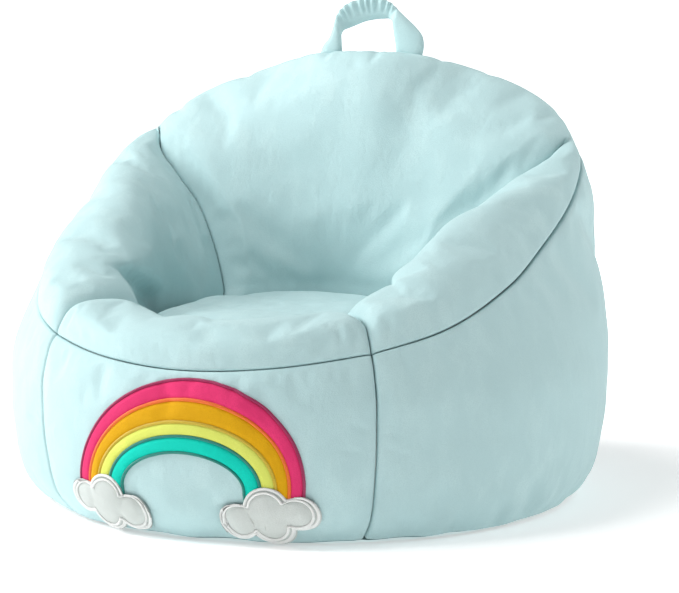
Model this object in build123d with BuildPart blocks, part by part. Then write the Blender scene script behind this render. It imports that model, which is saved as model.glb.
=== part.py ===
"""Child's bean bag chair: a scooped drum of sewn velour panels over a bead-filled inner bag.

Millimetres. +Z is up, the chair faces -Y and the origin is on the floor, under the middle of the drum.

The drum is laid out on rays that fan out from the middle of the seat. A ray's angle is 0 towards the
chair's right, 90 towards its rear and -90 towards its front. Along a ray, a section is drawn upright
in (reach, height), where reach is the distance from the middle of the seat.
"""

import os
from math import atan2, cos, degrees, pi, radians, sin, sqrt

from build123d import *

# ---------------------------------------------------------------- driving dimensions
DRUM_RADIUS = 241.3  # widest radius of the drum, at its belly
BELLY_HEIGHT = 105.0  # height of that widest ring
FOOT_RADIUS = 0.887 * DRUM_RADIUS  # where the flat base ends
CREST_HEIGHT = 355.6  # top of the backrest
SIDE_LEAN = 26.0  # how far the sides lean in, LEAN_SPAN above where they start to lean
LEAN_SPAN = 0.367 * (CREST_HEIGHT - BELLY_HEIGHT)

VELOUR = 2.0  # thickness of the outer cover
LINER = 1.0  # thickness of the bead bag's cloth
SEAM_GAP = 1.2  # half of the valley where two panels are sewn together
LAYER_GAP = 0.4  # slack between a cover and what it covers
BAG_SLACK = 2.0  # between the bead bag and the walls
STUFFING_SLACK = 4.0  # between the rim's stuffing and its panels
HEM = 3.0  # height at which the walls' hems meet the base

RISE = CREST_HEIGHT - BELLY_HEIGHT  # the rim's heights below are shares of this
SEAT_RADIUS = 0.4476 * DRUM_RADIUS
SEAT_SETBACK = 0.2238 * DRUM_RADIUS  # the seat's middle lies this far in front of the drum's middle
SEAT_EDGE_HEIGHT = BELLY_HEIGHT + 0.2115 * RISE
SEAT_CROWN = 6.0  # how far the seat domes above its edge
BEAD_TOP = BELLY_HEIGHT + 0.028 * RISE  # top of the bead bag, under the stuffed rim

CORNER_ANGLE = 45.0  # rays of the front corners, either side of the front
BACK_ANGLE = 38.0  # rays of the seams between arms and backrest

HANDLE_SPAN = 64.0  # between the middles of the handle's legs
HANDLE_RISE = 27.0  # from the hinge line to the top of the loop
HANDLE_WIDTH = 22.0  # width of each leg
HANDLE_TOP_WIDTH = 15.0
HANDLE_THICKNESS = 3.0
HANDLE_CORNER = 24.0
HANDLE_AXIS_Y = 0.514 * DRUM_RADIUS

APPLIQUE = 1.2  # thickness of the rainbow and the clouds
PATCH_GAP = 0.3  # between neighbouring pieces of the applique
RAINBOW_FOOT_HEIGHT = 42.0
RAINBOW_SKEW = 0.14  # how far each arc slips sideways as it rises, as a share of its rise
BAND_NAMES = ("pink", "mustard", "yellow", "teal")
ARC_HALF_WIDTHS = (92.5, 82.5, 73.0, 62.0, 50.0)  # of the arcs that bound the bands, outside in
ARC_RISES = (0.925, 0.765, 0.582, 0.463, 0.322)  # shares of the way from their feet to the front's top seam
ARC_POINTS = 12
CLOUD_REACH = 67.0  # the clouds' middles, either side of the rainbow's middle
CLOUD_HEIGHT = 26.0
CLOUD_LOBES = ((-25.0, -6.0, 14.5), (-1.0, 5.0, 17.0), (1.0, -8.0, 16.0), (23.0, 2.0, 13.0))

ZIP_HEIGHT = 62.0  # middle of the zip, above the floor
ZIP_TAPE = 7.0  # visible height of each tape
ZIP_TAPE_THICKNESS = 1.0
ZIP_CHAIN = 5.0  # height of the closed coil
ZIP_CHAIN_THICKNESS = 2.0
ZIP_MARGIN = 3.0  # between the rear corners and the coil's end stops, in degrees
STOP_LENGTH = 4.0
SLIDER_LENGTH = 12.0
SLIDER_HEIGHT = 9.0
SLIDER_THICKNESS = 1.8
RUNNING_GAP = 0.6  # between the slider and what it runs on

LABEL_WIDTH, LABEL_DROP, LABEL_THICKNESS = 32.0, 26.0, 0.6
LABEL_ANGLE = 112.0  # round the drum, just past the middle of the rear
LABEL_LIFT = 0.5  # between the label and the wall behind it

FRONT_FIRST, FRONT_LAST = -90 - CORNER_ANGLE, -90 + CORNER_ANGLE
BACK_FIRST, BACK_LAST = BACK_ANGLE, 180 - BACK_ANGLE

# The rim, ray by ray: heights of its outer seam and its crown above the belly, as shares of the rise, and
# how far the crown lies inside the outer seam, as a share of the drum's radius.
RIM_SHARES = {
    -90.0: (0.108, 0.255, 0.149),
    -68.0: (0.124, 0.251, 0.153),
    FRONT_LAST: (0.164, 0.275, 0.186),
    -27.0: (0.219, 0.363, 0.2445),
    -10.0: (0.303, 0.435, 0.290),
    5.0: (0.383, 0.507, 0.278),
    18.0: (0.487, 0.575, 0.211),
    30.0: (0.6225, 0.658, 0.124),
    BACK_FIRST: (0.726, 0.754, 0.0456),
    55.0: (0.878, 0.902, 0.058),
    72.0: (0.950, 0.978, 0.050),
    90.0: (0.970, 1.0, 0.054),
}
RIM = {
    ray: (BELLY_HEIGHT + seam * RISE, BELLY_HEIGHT + crown * RISE, inside * DRUM_RADIUS)
    for ray, (seam, crown, inside) in RIM_SHARES.items()
}

SAMPLES = 9  # points along each section's outline

SEAT_MIDDLE = Vector(0, -SEAT_SETBACK, 0)
INSET = VELOUR + LAYER_GAP
HANDLE_AXIS_Z = CREST_HEIGHT + HANDLE_WIDTH / 2 + LAYER_GAP

# Half outline of the drum's rear, from the edge of its flat base over the belly to the top of its dome.
WALL = Spline(
    (FOOT_RADIUS, 0, 0),
    (FOOT_RADIUS + 0.54 * (DRUM_RADIUS - FOOT_RADIUS), 0.16 * BELLY_HEIGHT, 0),
    (0.988 * DRUM_RADIUS, 0.50 * BELLY_HEIGHT, 0),
    (DRUM_RADIUS, BELLY_HEIGHT, 0),
    (0.979 * DRUM_RADIUS, BELLY_HEIGHT + 0.30 * RISE, 0),
    (0.950 * DRUM_RADIUS, BELLY_HEIGHT + 0.58 * RISE, 0),
    (0.867 * DRUM_RADIUS, BELLY_HEIGHT + 0.81 * RISE, 0),
    (0.677 * DRUM_RADIUS, BELLY_HEIGHT + 0.93 * RISE, 0),
    (0.461 * DRUM_RADIUS, BELLY_HEIGHT + 0.984 * RISE, 0),
    (0, CREST_HEIGHT, 0),
)


# ---------------------------------------------------------------- outlines
def share_at(height):
    """How far along the drum's outline, from 0 to 1, it first reaches this height."""
    low, high = 0.0, 1.0
    for _ in range(40):
        middle = (low + high) / 2
        if (WALL @ middle).Y < height:
            low = middle
        else:
            high = middle
    return low


def drum_points(low, high):
    """The drum's outline between two heights, as (radius, height)."""
    first, last = share_at(low), share_at(high)
    shares = [first + (last - first) * i / (SAMPLES - 1) for i in range(SAMPLES)]
    return [((WALL @ s).X, (WALL @ s).Y) for s in shares]


def folded(angle):
    """The matching angle on the chair's right half."""
    angle = (angle + 90) % 360 - 90
    return 180 - angle if angle > 90 else angle


def lean(angle, height):
    """How far the wall leans in: in full at the front and sides, fading out to nothing at the rear."""
    share = (1 + cos(pi * min(max(folded(angle) / BACK_ANGLE, 0), 1))) / 2
    return share * SIDE_LEAN * (max(height - BELLY_HEIGHT, 0) / LEAN_SPAN) ** 1.5


def reach(radius, angle):
    """Distance from the seat's middle to the circle of this radius about the drum's axis, along a ray."""
    side = SEAT_SETBACK * cos(radians(angle))
    return SEAT_SETBACK * sin(radians(angle)) + sqrt(radius**2 - side**2)


def wall_points(angle, low, high):
    """The wall's outline along one ray, between two heights."""
    return [(reach(radius - lean(angle, height), angle), height) for radius, height in drum_points(low, high)]


def rim_points(angle):
    """The outline over the rim along one ray, from the outer seam over the crown to the seat's edge."""
    seam_height, crown_height, inside = RIM[folded(angle)]
    seam_reach = wall_points(angle, 0, seam_height)[-1][0]
    crown_reach = seam_reach - inside
    drop = crown_height - SEAT_EDGE_HEIGHT
    slope = crown_reach - SEAT_RADIUS
    return [
        (seam_reach, seam_height),
        (seam_reach - 0.22 * inside, seam_height + 0.72 * (crown_height - seam_height)),
        (crown_reach, crown_height),
        (crown_reach - 0.30 * slope, crown_height - 0.12 * drop),
        (crown_reach - 0.70 * slope, crown_height - 0.52 * drop),
        (SEAT_RADIUS, SEAT_EDGE_HEIGHT),
    ]


def shifted(points, distance):
    """The outline moved sideways, to its left as it is drawn."""
    moved = []
    for i, (x, y) in enumerate(points):
        before, after = points[max(i - 1, 0)], points[min(i + 1, len(points) - 1)]
        run, rise = after[0] - before[0], after[1] - before[1]
        length = sqrt(run**2 + rise**2)
        moved.append((x - rise / length * distance, y + run / length * distance))
    return moved


def trimmed(points, start=SEAM_GAP, end=SEAM_GAP):
    """The outline, drawn as a smooth curve, without a little at each end."""
    curve = Spline(*points)
    first, last = start / curve.length, 1 - end / curve.length
    shares = [first + (last - first) * i / (SAMPLES - 1) for i in range(SAMPLES)]
    return [((curve @ s).X, (curve @ s).Y) for s in shares]


def dome_height(radius, depth=0.0):
    """Height of the domed seat at a distance from its middle, or of a layer this deep below it."""
    ball = (SEAT_RADIUS**2 + SEAT_CROWN**2) / (2 * SEAT_CROWN)
    return SEAT_EDGE_HEIGHT + SEAT_CROWN - ball + sqrt((ball - depth) ** 2 - radius**2)


def section_plane(angle):
    """The upright plane of a ray: its x is reach and its y is height."""
    across = Vector(sin(radians(angle)), -cos(radians(angle)), 0)
    along = Vector(cos(radians(angle)), sin(radians(angle)), 0)
    return Plane(origin=SEAT_MIDDLE, x_dir=along, z_dir=across)


def spoke_plane(angle):
    """The upright plane through the drum's own axis: its x is radius and its y is height."""
    across = Vector(sin(radians(angle)), -cos(radians(angle)), 0)
    return Plane(origin=(0, 0, 0), x_dir=(cos(radians(angle)), sin(radians(angle)), 0), z_dir=across)


def rays(first, last):
    """Two rays and all the rim's rays between them."""
    right = list(RIM)
    left = [180 - angle for angle in RIM]
    found = right + left + [angle - 360 for angle in left]
    return [first, *sorted({angle for angle in found if first < angle < last}), last]


# ---------------------------------------------------------------- sewn panels
def panel(first, last, outline, thickness=VELOUR, side_gap=SEAM_GAP):
    """A sheet on the left of an outline, from one ray to another, short of both by the side gap."""
    with BuildPart() as sheet:
        for angle in rays(first, last):
            face = outline(angle)
            back = shifted(face, thickness)
            with BuildSketch(section_plane(angle)):
                with BuildLine():
                    Spline(*face)
                    Line(face[-1], back[-1])
                    Spline(*reversed(back))
                    Line(back[0], face[0])
                make_face()
        loft()
        split(bisect_by=section_plane(first).offset(-side_gap), keep=Keep.BOTTOM)
        split(bisect_by=section_plane(last).offset(side_gap), keep=Keep.TOP)
    return sheet.part


def wall(angle):
    """A wall panel's outline, from the hem up to the rim's outer seam."""
    return trimmed(wall_points(angle, HEM, RIM[folded(angle)][0]))


def rear_above_zip(angle):
    return trimmed(wall_points(angle, ZIP_HEIGHT + ZIP_CHAIN / 2 + ZIP_TAPE, RIM[folded(angle)][0]))


def rear_below_zip(angle):
    return trimmed(wall_points(angle, HEM, ZIP_HEIGHT - ZIP_CHAIN / 2 - ZIP_TAPE))


def rim(angle):
    """A rim panel's outline, from the outer seam over the crown to the seat's edge."""
    return trimmed(rim_points(angle))


front_panel = panel(FRONT_FIRST, FRONT_LAST, wall)
right_side_panel = panel(FRONT_LAST, BACK_FIRST, wall)
left_side_panel = mirror(right_side_panel, about=Plane.YZ)
rear_upper_panel = panel(BACK_FIRST, BACK_LAST, rear_above_zip)
rear_lower_panel = panel(BACK_FIRST, BACK_LAST, rear_below_zip)

front_roll_panel = panel(FRONT_FIRST, FRONT_LAST, rim)
right_arm_panel = panel(FRONT_LAST, BACK_FIRST, rim)
left_arm_panel = mirror(right_arm_panel, about=Plane.YZ)
backrest_panel = panel(BACK_FIRST, BACK_LAST, rim)

with BuildPart() as base_panel:
    with BuildSketch():
        Circle(FOOT_RADIUS)
    extrude(amount=VELOUR)

with BuildPart() as seat_panel:
    seat_edge = SEAT_RADIUS - SEAM_GAP
    with BuildSketch(section_plane(0)):
        with BuildLine():
            top = ThreePointArc(
                (0, dome_height(0)),
                (seat_edge / 2, dome_height(seat_edge / 2)),
                (seat_edge, dome_height(seat_edge)),
            )
            under = ThreePointArc(
                (0, dome_height(0, VELOUR)),
                (seat_edge / 2, dome_height(seat_edge / 2, VELOUR)),
                (seat_edge, dome_height(seat_edge, VELOUR)),
            )
            Line(top @ 0, under @ 0)
            Line(top @ 1, under @ 1)
        make_face()
    revolve(axis=Axis(SEAT_MIDDLE, (0, 0, 1)))


# ---------------------------------------------------------------- what is inside
BOSS_RADIUS = SEAT_RADIUS - 1.0  # the part of the bead bag that rises under the seat
STUFFING_INNER = SEAT_RADIUS + 1.0
STUFFING_EASE = 6.0  # the stuffing stops this far short of the panels' seams


def bag(depth, mode=Mode.ADD):
    """The bead bag's shape, or its inside this deep below its surface."""
    low, high = VELOUR + LAYER_GAP + depth, BEAD_TOP - depth
    side = shifted(drum_points(HEM, high - VELOUR - BAG_SLACK), VELOUR + BAG_SLACK + depth)
    foot = (FOOT_RADIUS - VELOUR - BAG_SLACK - depth, low)
    with BuildSketch(spoke_plane(0)) as drum_half:
        with BuildLine():
            Spline(*side)
            Polyline(side[-1], (side[-1][0], high), (0, high), (0, low), foot, side[0])
        make_face()
    revolve(drum_half.sketch, axis=Axis.Z, mode=mode)
    edge = BOSS_RADIUS - depth
    with BuildSketch(section_plane(0)) as boss_half:
        with BuildLine():
            dome = ThreePointArc(
                (0, dome_height(0, INSET + depth)),
                (edge / 2, dome_height(edge / 2, INSET + depth)),
                (edge, dome_height(edge, INSET + depth)),
            )
            Polyline(dome @ 1, (edge, low + LINER), (0, low + LINER), dome @ 0)
        make_face()
    revolve(boss_half.sketch, axis=Axis(SEAT_MIDDLE, (0, 0, 1)), mode=mode)


with BuildPart() as inner_liner:
    bag(0)
    bag(LINER, mode=Mode.SUBTRACT)

with BuildPart() as bead_fill:
    bag(LINER + LAYER_GAP)


def stuffing(first, last):
    """The fibre filling of one stretch of the rim, which stands on the bead bag."""
    with BuildPart() as filling:
        for angle in rays(first, last):
            seam_height = RIM[folded(angle)][0]
            depth = VELOUR + STUFFING_SLACK
            lowest = BEAD_TOP + STUFFING_EASE / 2
            side = trimmed(shifted(wall_points(angle, lowest, seam_height), depth), end=STUFFING_EASE)
            over = trimmed(shifted(rim_points(angle), depth), start=STUFFING_EASE, end=STUFFING_EASE)
            floor = BEAD_TOP + LAYER_GAP
            with BuildSketch(section_plane(angle)):
                with BuildLine():
                    Spline(*side)
                    Line(side[-1], over[0])
                    Spline(*over)
                    inner = max(over[-1][0], STUFFING_INNER)
                    Polyline(over[-1], (inner, floor), (side[0][0], floor), side[0])
                make_face()
        loft()
        split(bisect_by=section_plane(first).offset(-SEAM_GAP), keep=Keep.BOTTOM)
        split(bisect_by=section_plane(last).offset(SEAM_GAP), keep=Keep.TOP)
    return filling.part


front_roll_stuffing = stuffing(FRONT_FIRST, FRONT_LAST)
right_arm_stuffing = stuffing(FRONT_LAST, BACK_FIRST)
left_arm_stuffing = mirror(right_arm_stuffing, about=Plane.YZ)
backrest_stuffing = stuffing(BACK_FIRST, BACK_LAST)


# ---------------------------------------------------------------- carry handle
loop_plane = Plane(origin=(0, HANDLE_AXIS_Y, HANDLE_AXIS_Z), x_dir=(1, 0, 0), z_dir=(0, -1, 0))

with BuildPart() as carry_handle:
    with BuildSketch(loop_plane):
        with Locations((0, HANDLE_RISE / 2)):
            outer = Rectangle(HANDLE_SPAN + HANDLE_WIDTH, HANDLE_RISE)
        fillet(outer.vertices().group_by(Axis.Y)[-1], HANDLE_CORNER)
        with Locations((0, (HANDLE_RISE - HANDLE_TOP_WIDTH) / 2)):
            Rectangle(HANDLE_SPAN - HANDLE_WIDTH, HANDLE_RISE - HANDLE_TOP_WIDTH, mode=Mode.SUBTRACT)
        with Locations((-HANDLE_SPAN / 2, 0), (HANDLE_SPAN / 2, 0)):
            Circle(HANDLE_WIDTH / 2)
    extrude(amount=HANDLE_THICKNESS / 2, both=True)


# ---------------------------------------------------------------- applique on the front
def applique_layer(angle):
    """Outline just outside the front panel, where the patches lie."""
    return shifted(wall(angle), -LAYER_GAP)


patch_layer = panel(FRONT_FIRST, FRONT_LAST, applique_layer, thickness=-APPLIQUE)


def cloud(side, grow=0.0, mode=Mode.ADD):
    """A cloud's outline as seen from the front: four overlapping lobes. Side is 1 on the right, -1 on the left."""
    for across, above, radius in CLOUD_LOBES:
        with Locations((side * (CLOUD_REACH + across), CLOUD_HEIGHT + above)):
            Circle(radius + grow, mode=mode)


def cloud_patch(side):
    with BuildPart() as patch:
        with BuildSketch(Plane.XZ):
            cloud(side)
        extrude(amount=DRUM_RADIUS * 1.1)
        add(patch_layer, mode=Mode.INTERSECT)
    return patch.part


def arc(number, grow):
    """Points over one of the rainbow's arcs, from its right foot to its left, this far outside it."""
    height = RIM[-90.0][0] - RAINBOW_FOOT_HEIGHT
    points = []
    for i in range(ARC_POINTS + 1):
        turn = pi * i / ARC_POINTS
        up = (ARC_RISES[number] * height + grow) * sin(turn)
        across = (ARC_HALF_WIDTHS[number] + grow) * cos(turn) + RAINBOW_SKEW * up
        points.append((across, RAINBOW_FOOT_HEIGHT + up))
    return points


def rainbow_band(number):
    """One band, between two of the rainbow's arcs, and cut back to the clouds that cover its ends."""
    over = arc(number, -PATCH_GAP / 2)
    under = arc(number + 1, PATCH_GAP / 2)
    with BuildPart() as band:
        with BuildSketch(Plane.XZ):
            with BuildLine():
                Spline(*over)
                Line(over[-1], under[-1])
                Spline(*reversed(under))
                Line(under[0], over[0])
            make_face()
            for side in (-1, 1):
                cloud(side, grow=PATCH_GAP, mode=Mode.SUBTRACT)
        extrude(amount=DRUM_RADIUS * 1.1)
        add(patch_layer, mode=Mode.INTERSECT)
    return band.part


left_cloud_patch = cloud_patch(-1)
right_cloud_patch = cloud_patch(1)
rainbow = {f"rainbow_{name}_band": rainbow_band(i) for i, name in enumerate(BAND_NAMES)}


# ---------------------------------------------------------------- zip round the lower rear
def wall_radius(height):
    return (WALL @ share_at(height)).X


def arc_strip(points, first, last):
    """A closed outline in (radius, height), turned about the drum's axis between two angles."""
    with BuildPart() as strip:
        with BuildSketch(spoke_plane(first)):
            with BuildLine():
                Polyline(*points, close=True)
            make_face()
        revolve(axis=Axis.Z, revolution_arc=last - first)
    return strip.part


corner_reach = reach(wall_radius(ZIP_HEIGHT), BACK_ANGLE)
corner_across = corner_reach * cos(radians(BACK_ANGLE))
corner_back = corner_reach * sin(radians(BACK_ANGLE)) - SEAT_SETBACK
CORNER_TURN = degrees(atan2(corner_back, corner_across))  # of the rear panels' sides, about the drum's axis
SEAM_TURN = degrees(2 * SEAM_GAP / DRUM_RADIUS)  # a little more than the seam's half valley
TAPE_FIRST, TAPE_LAST = CORNER_TURN + SEAM_TURN, 180 - CORNER_TURN - SEAM_TURN
COIL_FIRST, COIL_LAST = CORNER_TURN + ZIP_MARGIN, 180 - CORNER_TURN - ZIP_MARGIN
STOP_TURN = degrees(STOP_LENGTH / DRUM_RADIUS)
SLIDER_TURN = degrees(SLIDER_LENGTH / DRUM_RADIUS)
JOINT_TURN = degrees(PATCH_GAP / DRUM_RADIUS)
COIL_RADIUS = wall_radius(ZIP_HEIGHT) - VELOUR / 2  # to the middle of the coil


def tape(inner_height, outer_height):
    """One tape, between the coil and the edge of a rear panel."""
    low, high = sorted((inner_height, outer_height))
    back = [(wall_radius(h) - VELOUR / 2 - ZIP_TAPE_THICKNESS / 2, h) for h in (low, high)]
    front = [(radius + ZIP_TAPE_THICKNESS, h) for radius, h in reversed(back)]
    return arc_strip(back + front, TAPE_FIRST, TAPE_LAST)


def box_outline(inner, outer, low, high):
    return [(inner, low), (outer, low), (outer, high), (inner, high)]


chain_half, tape_edge = ZIP_CHAIN / 2, ZIP_CHAIN / 2 + PATCH_GAP
zipper_tape_upper = tape(ZIP_HEIGHT + tape_edge, ZIP_HEIGHT + chain_half + ZIP_TAPE)
zipper_tape_lower = tape(ZIP_HEIGHT - tape_edge, ZIP_HEIGHT - chain_half - ZIP_TAPE)

coil_inner = COIL_RADIUS - ZIP_CHAIN_THICKNESS / 2
coil_outer = COIL_RADIUS + ZIP_CHAIN_THICKNESS / 2
coil_outline = box_outline(coil_inner, coil_outer, ZIP_HEIGHT - chain_half, ZIP_HEIGHT + chain_half)
zipper_coil = arc_strip(coil_outline, COIL_FIRST + STOP_TURN, COIL_LAST - STOP_TURN)

with BuildPart() as zipper_stops:
    add(arc_strip(coil_outline, COIL_FIRST, COIL_FIRST + STOP_TURN - JOINT_TURN))
    add(arc_strip(coil_outline, COIL_LAST - STOP_TURN + JOINT_TURN, COIL_LAST))

# The slider is a plate over the coil, with a lip along each edge that reaches down beside it.
plate_inner = coil_outer + RUNNING_GAP
plate_outer = plate_inner + SLIDER_THICKNESS
lip_inner = COIL_RADIUS + ZIP_TAPE_THICKNESS / 2 + RUNNING_GAP
lip_low = ZIP_HEIGHT - SLIDER_HEIGHT / 2
lip_high = ZIP_HEIGHT + SLIDER_HEIGHT / 2
groove_low = ZIP_HEIGHT - chain_half - RUNNING_GAP
groove_high = ZIP_HEIGHT + chain_half + RUNNING_GAP
slider_outline = [
    (plate_outer, lip_low),
    (plate_outer, lip_high),
    (lip_inner, lip_high),
    (lip_inner, groove_high),
    (plate_inner, groove_high),
    (plate_inner, groove_low),
    (lip_inner, groove_low),
    (lip_inner, lip_low),
]
SLIDER_FIRST = COIL_FIRST + STOP_TURN
zipper_slider = arc_strip(slider_outline, SLIDER_FIRST, SLIDER_FIRST + SLIDER_TURN)
print("slider travels", round(COIL_LAST - STOP_TURN - SLIDER_FIRST - SLIDER_TURN, 1), "degrees")

# ---------------------------------------------------------------- care label
label_low = ZIP_HEIGHT + chain_half + ZIP_TAPE + SEAM_GAP
label_heights = [label_low + LABEL_DROP * i / 3 for i in range(4)]
label_back = [(wall_radius(height) + LABEL_LIFT, height) for height in label_heights]
label_front = [(radius + LABEL_THICKNESS, height) for radius, height in reversed(label_back)]
label_half = degrees(LABEL_WIDTH / 2 / DRUM_RADIUS)
care_label = arc_strip(label_back + label_front, LABEL_ANGLE - label_half, LABEL_ANGLE + label_half)

# ---------------------------------------------------------------- one file for each piece
pieces = {
    "front_panel": front_panel,
    "left_side_panel": left_side_panel,
    "right_side_panel": right_side_panel,
    "rear_upper_panel": rear_upper_panel,
    "rear_lower_panel": rear_lower_panel,
    "base_panel": base_panel.part,
    "front_roll_panel": front_roll_panel,
    "left_arm_panel": left_arm_panel,
    "right_arm_panel": right_arm_panel,
    "backrest_panel": backrest_panel,
    "seat_panel": seat_panel.part,
    "inner_liner": inner_liner.part,
    "bead_fill": bead_fill.part,
    "front_roll_stuffing": front_roll_stuffing,
    "left_arm_stuffing": left_arm_stuffing,
    "right_arm_stuffing": right_arm_stuffing,
    "backrest_stuffing": backrest_stuffing,
    "carry_handle": carry_handle.part,
    "left_cloud_patch": left_cloud_patch,
    "right_cloud_patch": right_cloud_patch,
    **rainbow,
    "zipper_tape_upper": zipper_tape_upper,
    "zipper_tape_lower": zipper_tape_lower,
    "zipper_coil": zipper_coil,
    "zipper_stops": zipper_stops.part,
    "zipper_slider": zipper_slider,
    "care_label": care_label,
}

os.makedirs("parts", exist_ok=True)
for name, piece in pieces.items():
    piece.label = name
    export_step(piece, f"parts/{name}.step")
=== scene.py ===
from math import atan2, cos, pi, radians, sin

import bpy
import numpy as np
from mathutils import Matrix, Vector
from mathutils.bvhtree import BVHTree


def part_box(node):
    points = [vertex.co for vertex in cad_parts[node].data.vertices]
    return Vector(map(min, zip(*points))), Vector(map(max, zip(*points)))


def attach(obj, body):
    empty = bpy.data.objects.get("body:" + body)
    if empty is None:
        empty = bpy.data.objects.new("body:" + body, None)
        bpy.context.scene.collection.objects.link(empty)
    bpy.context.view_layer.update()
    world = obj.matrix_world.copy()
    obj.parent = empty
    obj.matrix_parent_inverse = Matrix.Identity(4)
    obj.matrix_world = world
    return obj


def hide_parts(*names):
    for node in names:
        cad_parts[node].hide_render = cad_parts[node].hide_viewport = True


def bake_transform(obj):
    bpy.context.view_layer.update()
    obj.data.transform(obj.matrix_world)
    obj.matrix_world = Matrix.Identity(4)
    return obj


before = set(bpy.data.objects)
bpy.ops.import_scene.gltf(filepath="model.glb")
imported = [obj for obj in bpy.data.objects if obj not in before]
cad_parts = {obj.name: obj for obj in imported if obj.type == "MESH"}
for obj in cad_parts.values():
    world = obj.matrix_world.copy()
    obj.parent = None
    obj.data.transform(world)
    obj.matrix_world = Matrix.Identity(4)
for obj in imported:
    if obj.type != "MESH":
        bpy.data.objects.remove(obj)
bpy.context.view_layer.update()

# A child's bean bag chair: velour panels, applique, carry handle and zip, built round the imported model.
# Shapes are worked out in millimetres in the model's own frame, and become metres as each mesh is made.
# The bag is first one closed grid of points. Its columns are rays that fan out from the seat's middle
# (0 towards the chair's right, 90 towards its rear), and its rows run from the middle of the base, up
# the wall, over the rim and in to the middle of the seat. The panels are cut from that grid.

MM = 0.001
TINY = 1e-9

# ---------------------------------------------------------------- sizes, as in the CAD model
CREST_HEIGHT = 355.6
SIDE_LEAN, LEAN_START, LEAN_SPAN = 26.0, 105.0, 92.0
SEAT_RADIUS, SEAT_SETBACK, SEAT_EDGE_HEIGHT, SEAT_CROWN = 108.0, 54.0, 158.0, 6.0
BEAD_TOP = 112.0
CORNER_ANGLE, BACK_ANGLE = 45.0, 38.0
ZIP_LOW, ZIP_HIGH = 52.5, 71.5
WALL = ((214, 0), (228.7, 17), (238.3, 52.5), (241.3, 105), (236.2, 180), (229.2, 250), (209.2, 308),
        (163.4, 338), (111.2, 351.6), (0, CREST_HEIGHT))
# Ray: outer seam's height, crown's height, crown's distance inside the outer seam.
RIM = {-90: (132, 169, 36), -68: (136, 168, 37), -45: (146, 174, 45), -27: (160, 196, 59),
       -10: (181, 214, 70), 5: (201, 232, 67), 18: (227, 249, 51), 30: (261, 270, 30), 38: (287, 294, 11),
       55: (322, 328, 14), 72: (343, 350, 12), 90: (348, CREST_HEIGHT, 13)}


# ---------------------------------------------------------------- curves
def smooth_curve(x, y, at):
    """A smooth curve through the points (x, y), read at these values of x."""
    x, y, at = np.asarray(x, float), np.asarray(y, float), np.asarray(at, float)
    slope = np.gradient(y, x, axis=0)
    i = np.clip(np.searchsorted(x, at) - 1, 0, len(x) - 2)
    step = x[i + 1] - x[i]
    t = (at - x[i]) / step
    if y.ndim > 1:
        step, t = step[:, None], t[:, None]
    return ((2 * t**3 - 3 * t**2 + 1) * y[i] + (t**3 - 2 * t**2 + t) * step * slope[i]
            + (3 * t**2 - 2 * t**3) * y[i + 1] + (t**3 - t**2) * step * slope[i + 1])


def along(points, shares):
    """Points at shares from 0 to 1 of the way along a smooth curve through these points."""
    points = np.asarray(points, float)
    run = np.r_[0, np.cumsum(np.linalg.norm(np.diff(points, axis=0), axis=1))]
    return smooth_curve(run, points, np.asarray(shares) * run[-1])


CROWDING = 0.2


def spread(count):
    """Shares from 0 to 1, closer together near both ends."""
    t = np.linspace(0, 1, count + 1)
    return (1 - CROWDING) * t + CROWDING * (1 - np.cos(pi * t)) / 2


def fade(value, low, high):
    """0 below low, 1 above high, and a smooth step between them."""
    t = np.clip((np.asarray(value, float) - low) / (high - low), 0, 1)
    return t * t * (3 - 2 * t)


def folded(angle):
    """The matching angle on the chair's right half."""
    angle = (angle + 90) % 360 - 90
    return 180 - angle if angle > 90 else angle


OUTLINE_POINTS = 800
OUTLINE = along(WALL, np.linspace(0, 1, OUTLINE_POINTS))
OUTLINE[:, 1] = np.maximum.accumulate(OUTLINE[:, 1]) + np.arange(OUTLINE_POINTS) * 1e-6  # always rising
OUTLINE_RUN = np.r_[0, np.cumsum(np.linalg.norm(np.diff(OUTLINE, axis=0), axis=1))]


def wall_rows(angle, low, high, shares):
    """(reach, height) at these shares of the way up the wall along one ray, between two heights."""
    ends = np.interp([low, high], OUTLINE[:, 1], OUTLINE_RUN)
    run = ends[0] + (ends[1] - ends[0]) * shares
    radius = np.interp(run, OUTLINE_RUN, OUTLINE[:, 0])
    height = np.interp(run, OUTLINE_RUN, OUTLINE[:, 1])
    share = (1 + cos(pi * min(max(folded(angle) / BACK_ANGLE, 0), 1))) / 2
    radius = radius - share * SIDE_LEAN * (np.maximum(height - LEAN_START, 0) / LEAN_SPAN) ** 1.5
    side = SEAT_SETBACK * cos(radians(angle))
    return np.stack([SEAT_SETBACK * sin(radians(angle)) + np.sqrt(radius**2 - side**2), height], 1)


def rim_sizes(angle):
    """Outer seam's height, crown's height and inset along one ray, within that ray's own panel."""
    a = folded(angle)
    if a >= BACK_ANGLE:
        keys = [k for k in RIM if k >= BACK_ANGLE]
        keys += [180 - k for k in reversed(keys[:-1])]
    elif a > CORNER_ANGLE - 90:
        keys = [k for k in RIM if CORNER_ANGLE - 90 <= k <= BACK_ANGLE]
    else:
        keys = [k for k in RIM if k <= CORNER_ANGLE - 90]
        keys = [-180 - k for k in reversed(keys[1:])] + keys
    return smooth_curve(keys, [RIM[folded(k)] for k in keys], [a])[0]


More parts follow.
